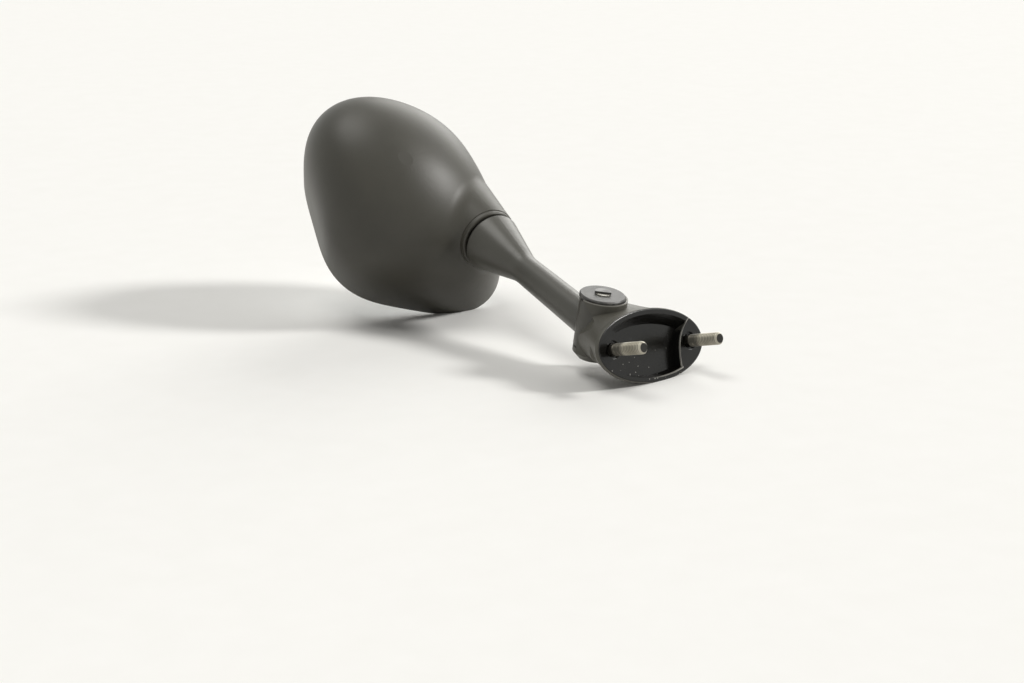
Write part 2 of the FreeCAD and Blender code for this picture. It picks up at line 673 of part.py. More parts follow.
def lies_on(edge, solid):
    """True for an edge whose middle lies on a solid's skin."""
    middle = edge.valueAt((edge.FirstParameter + edge.LastParameter) / 2)
    return solid.Shells[0].distToShape(Part.Vertex(middle))[0] < 0.01


swell = swelling()
body = outer.fuse(swell)
seam = [e for e in body.Edges if lies_on(e, outer) and lies_on(e, swell)]
body = body.makeFillet(SWELL_BLEND, seam)
body = body.fuse(collar(COLLAR_ROOT))

boss_spots = []
for angle in HOLDER_BOSS_ANGLES:
    radius = outline_radius(angle, 0.0) * HOLDER_BOSS_SHARE
    boss_spots.append((radius * cos(angle), radius * sin(angle)))
bosses = [put(rod(HOLDER_BOSS_RADIUS, holder_high, 90, x, y), head) for x, y in boss_spots]
hollow = put(dome(HEAD_WALL, 0.5), head)
hollow = hollow.cut([collar(SOCKET_LENGTH)] + bosses)
opening_radius = FLARE_RADIUS - COLLAR_WALL
housing = body.cut(hollow)
housing = housing.cut(put(rod(opening_radius, -60, COLLAR_STEP), socket))
housing = housing.cut(put(rod(socket_radius + SOCKET_BORE_GAP, -60, SOCKET_ROOM), socket))
housing = housing.cut(put(rod(SOCKET_FLANGE_RADIUS + SOCKET_FLANGE_GAP, SOCKET_LENGTH, SOCKET_ROOM), socket))
thread = rod(SOCKET_SCREW_RADIUS, screw_low, SOCKET_ROOM, SOCKET_SCREW_CIRCLE)
housing = housing.cut([put(hole, socket) for hole in ring_of(thread, 3, 30)])
screw_high = holder_low + HOLDER_SCREW_LENGTH
housing = housing.cut([put(rod(HOLDER_SCREW_RADIUS, -1, screw_high, x, y), head) for x, y in boss_spots])
save("mirror_housing", housing)

# Glass, pad, holder and its screws
sphere = Part.makeSphere(GLASS_CURVE_RADIUS, V(0, 0, GLASS_INSET + GLASS_CURVE_RADIUS))
glass = plate(HEAD_WALL + GLASS_GAP, 0.0, pad_low).common(sphere)
save("mirror_glass", put(glass, head))
save("glass_pad", put(plate(HEAD_WALL + PAD_MARGIN, pad_low, holder_low), head))
holder = plate(HEAD_WALL + HOLDER_GAP, holder_low, holder_high)
holder_screws = []
for x, y in boss_spots:
    head_drop = HOLDER_SCREW_HEAD - HOLDER_SCREW_RADIUS
    sink = Part.makeCone(HOLDER_SCREW_HEAD, HOLDER_SCREW_RADIUS, head_drop, V(x, y, holder_low))
    holder = holder.cut([sink, rod(HOLDER_SCREW_RADIUS, -1, 30, x, y)])
    shank = rod(HOLDER_SCREW_RADIUS, holder_low + head_drop, screw_high, x, y)
    holder_screws.append(sink.fuse(shank).removeSplitter())
save("glass_holder", put(holder, head))
save("holder_screws", put(Part.makeCompound(holder_screws), head))

fold_side = socket.Rotation.multVec(V(0, 1, 0))
fold_up = socket.Rotation.multVec(V(1, 0, 0))
print("pivot", pivot_point, pivot_axis)
print("ball", ball_centre, "pan axis", fold_up, "tilt axis", fold_side)
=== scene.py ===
# %% [markdown]
# # Dressing a folding motorcycle mirror
# The solids of the mirror come in ready made: a cast base with two studs, an arm on a fold
# pivot and a deep rounded head on a ball joint. This lesson gives them the looks of the real
# thing. We load the solids as a fixed frame first, because every later step is measured from it.

# %% Load the frame
import math

import bpy
import numpy as np
from mathutils import Matrix, Vector


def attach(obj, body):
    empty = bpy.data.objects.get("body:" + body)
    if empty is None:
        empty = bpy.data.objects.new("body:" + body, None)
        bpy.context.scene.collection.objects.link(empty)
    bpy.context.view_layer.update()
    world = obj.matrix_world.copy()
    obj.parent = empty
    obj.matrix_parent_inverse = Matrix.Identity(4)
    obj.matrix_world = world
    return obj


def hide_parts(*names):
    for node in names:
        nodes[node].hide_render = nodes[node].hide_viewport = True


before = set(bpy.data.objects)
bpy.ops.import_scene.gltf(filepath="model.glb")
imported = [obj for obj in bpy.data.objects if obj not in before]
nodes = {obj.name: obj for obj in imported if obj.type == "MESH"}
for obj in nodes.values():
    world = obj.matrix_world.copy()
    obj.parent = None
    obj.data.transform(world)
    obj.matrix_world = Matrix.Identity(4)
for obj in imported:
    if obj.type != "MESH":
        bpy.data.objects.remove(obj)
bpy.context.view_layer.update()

scene = bpy.context.scene
scene.view_settings.view_transform = "Standard"

# %% [markdown]
# ## Camera
# The mirror lies with its stud flange towards us and its head behind, so the lens looks along
# the arm from low down. A camera can be aimed with a target, but here the picture's own axes are
# known, so we write them straight into the camera's matrix: right, up, backwards and place.

# %% Camera
CAMERA_PLACE = np.array((-0.59182, -0.59617, 0.01956))
CAMERA_AHEAD = np.array((0.6477, 0.7618, -0.0135))
CAMERA_RIGHT = np.array((0.7571, -0.6455, -0.1004))
FOCAL_PIXELS = 1798.3
IMAGE_WIDTH = 1024
SENSOR_WIDTH = 36.0
NEAREST_SEEN = 0.01


def unit(vector):
    """The same direction with a length of 1."""
    return vector / np.linalg.norm(vector)


ahead = unit(CAMERA_AHEAD)
right = unit(CAMERA_RIGHT - ahead * (CAMERA_RIGHT @ ahead))
upward = np.cross(right, ahead)
camera_matrix = np.eye(4)
camera_matrix[:3] = np.stack([right, upward, -ahead, CAMERA_PLACE], axis=1)

camera_data = bpy.data.cameras.new("camera")
camera_data.sensor_width = SENSOR_WIDTH
camera_data.lens = SENSOR_WIDTH * FOCAL_PIXELS / IMAGE_WIDTH
camera_data.clip_start = NEAREST_SEEN
camera = bpy.data.objects.new("camera", camera_data)
scene.collection.objects.link(camera)
camera.matrix_world = Matrix(camera_matrix.tolist())
scene.camera = camera
print("lens", round(camera_data.lens, 2), "mm")

# %% [markdown]
# ## Grids into meshes
# Every new surface here is a grid of points: rows along it and columns round it. One helper
# joins neighbouring points into faces and closes the seam where the last column meets the first.
# It can also close both ends with a fan round a middle point, or join the last row to the first
# one, which makes a ring.

# %% Grid helper
SHARP_ANGLE = math.radians(40)


def grid_faces(rows, columns, ring):
    """Corner numbers of every quad of a grid; in a ring the last row meets the first one too."""
    last = rows if ring else rows - 1
    row, column = np.meshgrid(np.arange(last), np.arange(columns), indexing="ij")
    beside = (column + 1) % columns
    here = row * columns
    below = (row + 1) % rows * columns
    corners = (here + column, here + beside, below + beside, below + column)
    return np.stack(corners, axis=-1).reshape(-1, 4)


def end_fan(first, columns, middle, flip):
    """Triangles from one closed row of points to a middle point."""
    here = first + np.arange(columns)
    beside = first + (np.arange(columns) + 1) % columns
    ends = (beside, here) if flip else (here, beside)
    return np.stack([np.full(columns, middle), ends[0], ends[1]], axis=1)


def surface(name, points, closed_ends=False, ring=False):
    """Mesh object from a (rows, columns, 3) array of points."""
    rows, columns = points.shape[:2]
    corners = points.reshape(-1, 3)
    faces = grid_faces(rows, columns, ring).tolist()
    if closed_ends:
        count = len(corners)
        corners = np.concatenate([corners, points[:1].mean(1), points[-1:].mean(1)])
        faces += end_fan(0, columns, count, True).tolist()
        faces += end_fan((rows - 1) * columns, columns, count + 1, False).tolist()
    mesh = bpy.data.meshes.new(name)
    mesh.from_pydata(corners.tolist(), [], faces)
    mesh.shade_smooth()
    mesh.set_sharp_from_angle(angle=SHARP_ANGLE)
    made = bpy.data.objects.new(name, mesh)
    scene.collection.objects.link(made)
    print(name, len(corners), "points,", len(faces), "faces")
    return made


print("grid helper ready")

# %% [markdown]
# ## Floor
# The mirror lies tipped over, so the surface under it leans in the frame of its own flange. The
# floor is a wide round sheet in that leaning plane, pale enough to pass for a paper sweep.

# %% Floor sheet
FLOOR_UP = np.array((-0.097, -0.2679, 0.9585))
FLOOR_LEVEL = -0.0168
FLOOR_CENTRE = np.array((0.0, 0.09, 0.0))
FLOOR_RADII = (0.0, 0.02, 0.5, 2.0, 7.0)
FLOOR_COLUMNS = 96


def floor_grid():
    """Rows outwards, columns round; point = middle + radius along a direction in the plane."""
    up = unit(FLOOR_UP)
    across = unit(np.cross((0.0, 1.0, 0.0), up))
    onwards = np.cross(up, across)
    middle = FLOOR_CENTRE + up * (FLOOR_LEVEL - FLOOR_CENTRE @ up)
    turn = -np.linspace(0.0, 2 * np.pi, FLOOR_COLUMNS, endpoint=False)[:, None]
    direction = np.cos(turn) * across + np.sin(turn) * onwards
    return middle + np.array(FLOOR_RADII)[:, None, None] * direction


floor = surface("floor", floor_grid())

# %% [markdown]
# A material is a tree of nodes that ends in one output. The helpers here make an empty tree, put
# a Principled shader into it with the values that are the same all over, and add the two nodes
# that nearly every finish needs: a noise and a mix of two colours.


# %% Material helpers
def new_material(name):
    """Node material with nothing but an output; returns it, its tree and that output."""
    material = bpy.data.materials.new(name)
    material.use_nodes = True
    tree = material.node_tree
    tree.nodes.clear()
    out = tree.nodes.new("ShaderNodeOutputMaterial")
    return material, tree, out


def principled(tree, out, **settings):
    """Principled shader wired to the output, with the named sockets set."""
    shader = tree.nodes.new("ShaderNodeBsdfPrincipled")
    for key, value in settings.items():
        shader.inputs[key.replace("_", " ")].default_value = value
    tree.links.new(shader.outputs["BSDF"], out.inputs["Surface"])
    return shader


def object_place(tree):
    """Where a point lies on its piece, in metres."""
    return tree.nodes.new("ShaderNodeTexCoord").outputs["Object"]


def noise(tree, vector, scale, detail=2.0):
    """Noise texture output; the scale is a number or a socket."""
    texture = tree.nodes.new("ShaderNodeTexNoise")
    texture.inputs["Detail"].default_value = detail
    tree.links.new(vector, texture.inputs["Vector"])
    if isinstance(scale, float):
        texture.inputs["Scale"].default_value = scale
    else:
        tree.links.new(scale, texture.inputs["Scale"])
    return texture.outputs["Fac"]


def mix_colour(tree, amount, first_colour, second_colour):
    """Colour mix; each colour is an RGB triple or a socket."""
    node = tree.nodes.new("ShaderNodeMix")
    node.data_type = "RGBA"
    tree.links.new(amount, node.inputs["Factor"])
    for label, colour in (("A", first_colour), ("B", second_colour)):
        if isinstance(colour, tuple):
            node.inputs[label].default_value = (*colour, 1)
        else:
            tree.links.new(colour, node.inputs[label])
    return node.outputs["Result"]


print("material helpers ready")

# %% [markdown]
# The floor is matt paper. A faint tooth in its tone keeps it from looking computed. The
# Backfacing output of the Geometry node picks a clear shader for its underside, so that it never
# hides the mirror from a low camera.

# %% Floor paper
PAPER_TONES = ((0.91, 0.91, 0.89), (0.94, 0.94, 0.925))
PAPER_TOOTH = 60.0

paper, tree, out = new_material("floor_paper")
matt = principled(tree, out, Roughness=0.9, Specular_IOR_Level=0.1)
tooth = noise(tree, object_place(tree), PAPER_TOOTH)
tree.links.new(mix_colour(tree, tooth, *PAPER_TONES), matt.inputs["Base Color"])
clear = tree.nodes.new("ShaderNodeBsdfTransparent")
sides = tree.nodes.new("ShaderNodeNewGeometry")
either = tree.nodes.new("ShaderNodeMixShader")
tree.links.new(sides.outputs["Backfacing"], either.inputs["Fac"])
tree.links.new(matt.outputs["BSDF"], either.inputs[1])
tree.links.new(clear.outputs["BSDF"], either.inputs[2])
tree.links.new(either.outputs["Shader"], out.inputs["Surface"])
floor.data.materials.append(paper)
print("floor finished")

# %% [markdown]
# ## Light
# Black paint and plastic show their shape only through what they mirror, so the light is made of
# large soft sources. An even surrounding fills everything. What the camera sees of it, and what
# shiny pieces mirror, is a separate pale tone, chosen by the kind of ray.

# %% Surroundings
FILL_COLOUR, FILL_STRENGTH = (1.0, 0.985, 0.96), 0.2
SEEN_COLOUR, SEEN_STRENGTH = (0.93, 0.935, 0.9), 1.0


def calculate(tree, operation, a, b=0.0):
    """Math node; each side is a number or a socket."""
    node = tree.nodes.new("ShaderNodeMath")
    node.operation = operation
    for index, side in enumerate((a, b)):
        if isinstance(side, float):
            node.inputs[index].default_value = side
        else:
            tree.links.new(side, node.inputs[index])
    return node.outputs["Value"]


def background(tree, colour, strength):
    """Background shader of one colour."""
    node = tree.nodes.new("ShaderNodeBackground")
    node.inputs["Color"].default_value = (*colour, 1)
    node.inputs["Strength"].default_value = strength
    return node.outputs["Background"]


world = bpy.data.worlds.new("surroundings")
scene.world = world
world.use_nodes = True
tree = world.node_tree
tree.nodes.clear()
out = tree.nodes.new("ShaderNodeOutputWorld")
rays = tree.nodes.new("ShaderNodeLightPath").outputs
seen_or_mirrored = calculate(tree, "MAXIMUM", rays["Is Camera Ray"], rays["Is Glossy Ray"])
seen_at_all = calculate(tree, "MAXIMUM", seen_or_mirrored, rays["Is Transmission Ray"])
choose = tree.nodes.new("ShaderNodeMixShader")
tree.links.new(seen_at_all, choose.inputs["Fac"])
tree.links.new(background(tree, FILL_COLOUR, FILL_STRENGTH), choose.inputs[1])
tree.links.new(background(tree, SEEN_COLOUR, SEEN_STRENGTH), choose.inputs[2])
tree.links.new(choose.outputs["Shader"], out.inputs["Surface"])
print("surroundings set")

# %% [markdown]
# Three far lamps with wide discs do the rest: one overhead for the shadow on the floor, one
# behind that grazes the top of the head, and a narrower one on the right, where the highlights on
# the head and on the flared arm point to. Far lamps light the whole floor evenly, and together
# they bring its colour out about as it is written.

# %% Lamps
WARM_WHITE = (1.0, 0.985, 0.95)
PALE_WHITE = (1.0, 0.985, 0.96)


def far_lamp(name, direction, strength, wide, colour):
    """Sun lamp that shines from a direction, with a disc so many degrees wide."""
    lamp = bpy.data.lights.new(name, "SUN")
    lamp.energy = strength
    lamp.angle = math.radians(wide)
    lamp.color = colour
    placed = bpy.data.objects.new(name, lamp)
    placed.rotation_euler = (-Vector(direction)).to_track_quat("-Z", "Y").to_euler()
    scene.collection.objects.link(placed)
    print(name, "strength", strength)


far_lamp("overhead", (-0.26, -0.06, 0.96), strength=1.0, wide=34, colour=WARM_WHITE)
far_lamp("behind", (0.72, 0.25, 0.64), strength=1.05, wide=40, colour=WARM_WHITE)
far_lamp("right", (0.545, -0.708, 0.45), strength=2.0, wide=12, colour=PALE_WHITE)

# %% [markdown]
# ## Shared finish effects
# Four effects are built once as node groups: the fine grain of a moulded or painted skin, the
# broad patches left by handling, loose specks of dust, and a measure of how far a point lies from
# an axis. Each has named inputs, so a material sets its own scale and amount.


# %% Group helpers
def new_group(name, inputs, outputs):
    """Shader node group with float or vector inputs and float outputs."""
    group = bpy.data.node_groups.new(name, "ShaderNodeTree")
    for label, kind, value in inputs:
        socket = group.interface.new_socket(label, in_out="INPUT", socket_type=kind)
        socket.default_value = value
    for label in outputs:
        group.interface.new_socket(label, in_out="OUTPUT", socket_type="NodeSocketFloat")
    enter = group.nodes.new("NodeGroupInput")
    leave = group.nodes.new("NodeGroupOutput")
    return group, enter.outputs, leave.inputs


def ramp(tree, value, low, high):
    """Smooth step of a value from 0 at low to 1 at high."""
    step = tree.nodes.new("ShaderNodeMapRange")
    step.interpolation_type = "SMOOTHSTEP"
    step.inputs["From Min"].default_value = low
    step.inputs["From Max"].default_value = high
    tree.links.new(value, step.inputs["Value"])
    return step.outputs["Result"]


def product(tree, first, *others):
    """All values multiplied together; each is a number or a socket."""
    for other in others:
        first = calculate(tree, "MULTIPLY", first, other)
    return first


print("group helpers ready")

# %% [markdown]
# Grain is two noises on top of each other, a fine one and a coarse one that is weaker.

# %% Grain group
FLOAT = "NodeSocketFloat"
COARSE_SCALE_SHARE = 0.22
COARSE_HEIGHT_SHARE = 0.6

grain_group, given, result = new_group("skin_grain", [("Scale", FLOAT, 900.0)], ["Height"])
grain_place = object_place(grain_group)
coarse_scale = product(grain_group, given["Scale"], COARSE_SCALE_SHARE)
fine = noise(grain_group, grain_place, given["Scale"], detail=3.0)
coarse = noise(grain_group, grain_place, coarse_scale)
lower = product(grain_group, coarse, COARSE_HEIGHT_SHARE)
grain_group.links.new(calculate(grain_group, "ADD", fine, lower), result["Height"])
print("grain group ready")

# %% [markdown]
# Handling leaves soft patches and thin streaks. The streaks are the same kind of noise, finer and
# squeezed along two axes by a Mapping node.

# %% Handling group
STREAK_SQUEEZE = (1.0, 6.0, 1.5)
STREAK_FINER = 2.5
PATCH_EDGES = (0.36, 0.66)
STREAK_EDGES = (0.52, 0.72)

handled_group, given, result = new_group(
    "handling_patches", [("Scale", FLOAT, 28.0)], ["Patch", "Streak"])
handled_place = object_place(handled_group)
squeezed = handled_group.nodes.new("ShaderNodeMapping")
squeezed.inputs["Scale"].default_value = STREAK_SQUEEZE
handled_group.links.new(handled_place, squeezed.inputs["Vector"])
streak_scale = product(handled_group, given["Scale"], STREAK_FINER)
patch = noise(handled_group, handled_place, given["Scale"], detail=4.0)
streak = noise(handled_group, squeezed.outputs["Vector"], streak_scale, detail=5.0)
handled_group.links.new(ramp(handled_group, patch, *PATCH_EDGES), result["Patch"])
handled_group.links.new(ramp(handled_group, streak, *STREAK_EDGES), result["Streak"])
print("handling group ready")

# %% [markdown]
# Dust is a Voronoi pattern of cells. A speck shows close to the middle of a cell, and only in
# those cells whose random red is above the cover value.

# %% Dust group
dust_group, given, result = new_group(
    "dust_specks",
    [("Scale", FLOAT, 420.0), ("Size", FLOAT, 0.16), ("Cover", FLOAT, 0.55)], ["Speck"])
cells = dust_group.nodes.new("ShaderNodeTexVoronoi")
dust_group.links.new(object_place(dust_group), cells.inputs["Vector"])
dust_group.links.new(given["Scale"], cells.inputs["Scale"])
near_middle = calculate(dust_group, "LESS_THAN", cells.outputs["Distance"], given["Size"])
cell_colour = dust_group.nodes.new("ShaderNodeSeparateColor")
dust_group.links.new(cells.outputs["Color"], cell_colour.inputs["Color"])
chosen = calculate(dust_group, "GREATER_THAN", cell_colour.outputs["Red"], given["Cover"])
dust_group.links.new(product(dust_group, near_middle, chosen), result["Speck"])
print("dust group ready")

# %% [markdown]
# Turned, milled and rubbed places are rings about an axis or flats across it, so the last group
# measures how far a point lies from an axis and how far along it. The fold pivot's axis is the
# one that is needed most.

# %% Axis group
VECTOR = "NodeSocketVector"
PIVOT = (-0.01215, 0.02275, 0.0102)
PIVOT_AXIS = (-0.0732382, -0.4199051, 0.9046081)


def vector_math(tree, operation, a, b=None):
    """Vector maths node; each side is a triple or a socket."""
    node = tree.nodes.new("ShaderNodeVectorMath")
    node.operation = operation
    for index, side in enumerate((a, b)):
        if isinstance(side, tuple):
            node.inputs[index].default_value = side
        elif side is not None:
            tree.links.new(side, node.inputs[index])
    return node.outputs["Value" if operation in ("DOT_PRODUCT", "LENGTH") else "Vector"]


axis_group, given, result = new_group(
    "axis_measure",
    [("Point", VECTOR, (0, 0, 0)), ("Axis", VECTOR, (0, 0, 1))], ["Away", "Along"])
offset = vector_math(axis_group, "SUBTRACT", object_place(axis_group), given["Point"])
sideways = vector_math(axis_group, "CROSS_PRODUCT", offset, given["Axis"])
lengthwise = vector_math(axis_group, "DOT_PRODUCT", offset, given["Axis"])
axis_group.links.new(vector_math(axis_group, "LENGTH", sideways), result["Away"])
axis_group.links.new(lengthwise, result["Along"])
print("axis group ready")

# %% [markdown]
# A few more helpers place a group in a material, spread a mask over a range of numbers, and turn
# a height into bump. The last one puts a finished material on the solids.


# %% Placing helpers
def use(tree, group, **values):
    """Places a group in a material with its own values and returns its outputs."""
    node = tree.nodes.new("ShaderNodeGroup")
    node.node_tree = group
    for label, value in values.items():
        node.inputs[label].default_value = value
    return node.outputs


def between(tree, amount, low, high):
    """Number that runs from low to high as amount runs from 0 to 1."""
    node = tree.nodes.new("ShaderNodeMapRange")
    tree.links.new(amount, node.inputs["Value"])
    node.inputs["To Min"].default_value = low
    node.inputs["To Max"].default_value = high
    return node.outputs["Result"]


def bumped(tree, shader, height, strength, depth):
    """Height into the shader's normal; depth is the real height in metres."""
    bump = tree.nodes.new("ShaderNodeBump")
    bump.inputs["Strength"].default_value = strength
    bump.inputs["Distance"].default_value = depth
    tree.links.new(height, bump.inputs["Height"])
    tree.links.new(bump.outputs["Normal"], shader.inputs["Normal"])


def dress(material, *names):
    """Puts a material on CAD nodes in place of their plain one."""
    for name in names:
        nodes[name].data.materials.clear()
        nodes[name].data.materials.append(material)
    print(material.name, "on", ", ".join(names))


print("placing helpers ready")

# %% [markdown]
# ## Head shell
# The shell is black plastic from a fine-grained mould. Its colour hardly changes, so the grain,
# the handling patches and small steps in roughness do the work of breaking up the reflections.

# %% Shell plastic
SHELL_TONES = ((0.044, 0.0415, 0.033), (0.054, 0.051, 0.041))
SHELL_ROUGHNESS = (0.39, 0.44)

shell_plastic, tree, out = new_material("shell_plastic")
shader = principled(tree, out, Specular_IOR_Level=0.4)
grain = use(tree, grain_group, Scale=1500.0)
handled = use(tree, handled_group, Scale=20.0)
tree.links.new(mix_colour(tree, handled["Patch"], *SHELL_TONES), shader.inputs["Base Color"])
tree.links.new(between(tree, handled["Patch"], *SHELL_ROUGHNESS), shader.inputs["Roughness"])
bumped(tree, shader, grain["Height"], strength=0.12, depth=0.0002)
dress(shell_plastic, "mirror_housing")

# %% [markdown]
# ## Arm
# The arm is an alloy casting under satin black paint. Paint flows a little before it dries, so
# its skin is a shallow orange peel, coarser and weaker than the grain of the plastic.

# %% Arm paint
ARM_TONES = ((0.052, 0.0495, 0.04), (0.064, 0.061, 0.05))
ARM_ROUGHNESS = (0.35, 0.41)

arm_paint, tree, out = new_material("arm_paint")
shader = principled(tree, out)
grain = use(tree, grain_group, Scale=700.0)
handled = use(tree, handled_group, Scale=35.0)
tree.links.new(mix_colour(tree, handled["Patch"], *ARM_TONES), shader.inputs["Base Color"])
tree.links.new(between(tree, handled["Streak"], *ARM_ROUGHNESS), shader.inputs["Roughness"])
bumped(tree, shader, grain["Height"], strength=0.1, depth=0.0002)
dress(arm_paint, "arm")

# %% [markdown]
# ## Base
# Outside, the base has the same kind of paint, duller and greyer. The recess inside the flange's
# rim is painted near black, as painted shade for its deep inside, with dust caught in it. A face
# belongs to the recess or the rim where it looks forwards or inwards: the direction out of the
# flange's oval plus the direction back from it, held against the face's own direction, changes
# sign half way round the rim's rounded edge.

# %% Recess mask
FLANGE_HALF_LONG = 0.0345
FLANGE_HALF_SHORT = 0.0175
OVAL_LIMIT = 1.01
RECESS_BACK = 0.009
LOOKS_IN_RANGE = (0.0, 0.3)
BACKWARDS = (0.0, 1.0, 0.0)


def split_place(tree):
    """X, Y and Z of the point, as three sockets."""
    node = tree.nodes.new("ShaderNodeSeparateXYZ")
    tree.links.new(object_place(tree), node.inputs["Vector"])
    return node.outputs["X"], node.outputs["Y"], node.outputs["Z"]


def square_sum(tree, a, b):
    """Sum of the squares of two sockets."""
    return calculate(tree, "ADD", product(tree, a, a), product(tree, b, b))


def oval_measure(tree, x, z, half_long, half_short):
    """Square of the distance from the middle, as a share of an oval's own: 1 on the oval."""
    return square_sum(tree, calculate(tree, "DIVIDE", x, half_long),
                      calculate(tree, "DIVIDE", z, half_short))


base_paint, tree, out = new_material("base_paint")
base_shader = principled(tree, out, Specular_IOR_Level=0.38)
base_x, base_y, base_z = split_place(tree)
oval_slope = (1 / FLANGE_HALF_LONG ** 2, 0.0, 1 / FLANGE_HALF_SHORT ** 2)
sloped = vector_math(tree, "MULTIPLY", object_place(tree), oval_slope)
out_and_back = vector_math(tree, "ADD", vector_math(tree, "NORMALIZE", sloped), BACKWARDS)
own_direction = tree.nodes.new("ShaderNodeTexCoord").outputs["Normal"]
looks_out = vector_math(tree, "DOT_PRODUCT", out_and_back, own_direction)
looks_in = ramp(tree, product(tree, looks_out, -1.0), *LOOKS_IN_RANGE)
in_front = calculate(tree, "LESS_THAN", base_y, RECESS_BACK)
oval = oval_measure(tree, base_x, base_z, FLANGE_HALF_LONG, FLANGE_HALF_SHORT)
recess = product(tree, looks_in, in_front, calculate(tree, "LESS_THAN", oval, OVAL_LIMIT))
print("recess mask ready")

# %% [markdown]
# Two edges of the recess get a painted highlight, a bright line that stands in for light caught on
# their rounded edges: the edge of the land round the right stud, whose place along X is a cubic in
# Z, and the lower edge of the recess next to it, which is a smaller oval. A line is drawn where
# the distance to it is small, and other masks keep it to its own stretch.

# %% Painted highlights on the edges of the recess
LAND_CUBIC = (0.018747, 0.23802, 29.487, 1049.7)
LAND_WIDTH = 0.0005
LAND_HALF_HEIGHT = 0.0118
LIP_INSET = 0.0024
LIP_WIDTH = 0.05
LIP_FADE = (-0.004, 0.010)
LIP_END = 0.0195
FRONT_DEPTH = 0.0007


def rest_of(tree, mask):
    """1 less a mask: the rest of the surface."""
    return calculate(tree, "SUBTRACT", 1.0, mask)


def line_at(tree, value, place, width):
    """1 where a value is within half a width of a place, fading out up to a width."""
    distance = calculate(tree, "ABSOLUTE", calculate(tree, "SUBTRACT", value, place))
    return rest_of(tree, ramp(tree, distance, width * 0.5, width))


land_edge = LAND_CUBIC[3]
for coefficient in LAND_CUBIC[2::-1]:
    land_edge = calculate(tree, "ADD", product(tree, base_z, land_edge), coefficient)
land_part = calculate(tree, "LESS_THAN", calculate(tree, "ABSOLUTE", base_z), LAND_HALF_HEIGHT)
land_line = product(tree, line_at(tree, base_x, land_edge, LAND_WIDTH), land_part)
lip = oval_measure(tree, base_x, base_z,
                   FLANGE_HALF_LONG - LIP_INSET, FLANGE_HALF_SHORT - LIP_INSET)
lip_part = product(tree, ramp(tree, base_x, *LIP_FADE), calculate(tree, "LESS_THAN", base_z, 0.0),
                   calculate(tree, "LESS_THAN", base_x, LIP_END))
lip_line = product(tree, line_at(tree, lip, 1.0, LIP_WIDTH), lip_part)
# Painted highlight lines on the two recess edges, kept to the front face.
recess_edges = product(tree, calculate(tree, "MAXIMUM", land_line, lip_line),
                       calculate(tree, "LESS_THAN", base_y, FRONT_DEPTH))
print("rubbed edges ready")

# %% [markdown]
# The narrow ledge under the pivot cap gets a weaker painted highlight too, for light caught on
# it. It is a ring about the pivot, so the axis group finds it.

# %% Painted highlight on the ledge
LEDGE_LEVEL = 0.0162
LEDGE_WIDTH = 0.0005
LEDGE_RADII = (0.0110, 0.0113)
LEDGE_HIGHLIGHT_SHARE = 0.5

from_pivot = use(tree, axis_group, Point=PIVOT, Axis=PIVOT_AXIS)
# Painted highlight: a bright ring on the ledge under the cap, at half strength.
ledge = product(tree, line_at(tree, from_pivot["Along"], LEDGE_LEVEL, LEDGE_WIDTH),
                ramp(tree, from_pivot["Away"], *LEDGE_RADII), LEDGE_HIGHLIGHT_SHARE)
painted_highlight = calculate(tree, "MAXIMUM", recess_edges, ledge)
print("rubbed ledge ready")

# %% [markdown]
# Now the layers go on: paint outside, near black in the recess as painted shade, dust low down in
# it, and a pale tone on the recess edges and the ledge as painted highlight. The recess is also a
# little glossier.

# %% Base paint
BASE_TONES = ((0.074, 0.071, 0.058), (0.09, 0.086, 0.071))
BASE_ROUGHNESS = (0.42, 0.48)
RECESS_PAINTED_SHADE = (0.003, 0.0027, 0.0021)
RECESS_GLOSS = 0.2
DUST_TONE, DUST_AMOUNT = (0.42, 0.41, 0.38), 0.6
DUST_LEVELS = (-0.0125, 0.002)
HIGHLIGHT_TONE, HIGHLIGHT_AMOUNT = (0.34, 0.33, 0.30), 0.8

grain = use(tree, grain_group, Scale=620.0)
handled = use(tree, handled_group, Scale=40.0)
dust = use(tree, dust_group, Scale=560.0, Size=0.18, Cover=0.8)
low_down = rest_of(tree, ramp(tree, base_z, *DUST_LEVELS))
specks = product(tree, dust["Speck"], recess, low_down, DUST_AMOUNT)
painted = mix_colour(tree, handled["Patch"], *BASE_TONES)
# Painted shade: the recess and the inward faces of its rim go near black.
recess_shaded = mix_colour(tree, recess, painted, RECESS_PAINTED_SHADE)
dusted = mix_colour(tree, specks, recess_shaded, DUST_TONE)
# Painted highlight: the pale tone on the recess edges and the ledge.
base_with_highlights = mix_colour(tree, product(tree, painted_highlight, HIGHLIGHT_AMOUNT), dusted, HIGHLIGHT_TONE)
tree.links.new(base_with_highlights, base_shader.inputs["Base Color"])
dull = between(tree, handled["Streak"], *BASE_ROUGHNESS)
glossier = calculate(tree, "SUBTRACT", dull, product(tree, recess, RECESS_GLOSS))
tree.links.new(glossier, base_shader.inputs["Roughness"])
bumped(tree, base_shader, grain["Height"], strength=0.16, depth=0.0003)
dress(base_paint, "base_casting")

# %% [markdown]
# ## Pivot cap and pin
# The cap is a turned plate, so its fine marks run in rings about the pivot: a sine of the distance
# from the axis. Its rim is worn in patches.

# %% Cap paint
CAP_TONES = ((0.034, 0.033, 0.031), (0.11, 0.105, 0.098))
CAP_ROUGHNESS = (0.38, 0.5)
RIM_RADII = (0.0104, 0.0109)
BLOTCH_SCALE = 300.0
WORN_EDGES = (0.45, 0.7)
TURNED_RATE = 9000.0

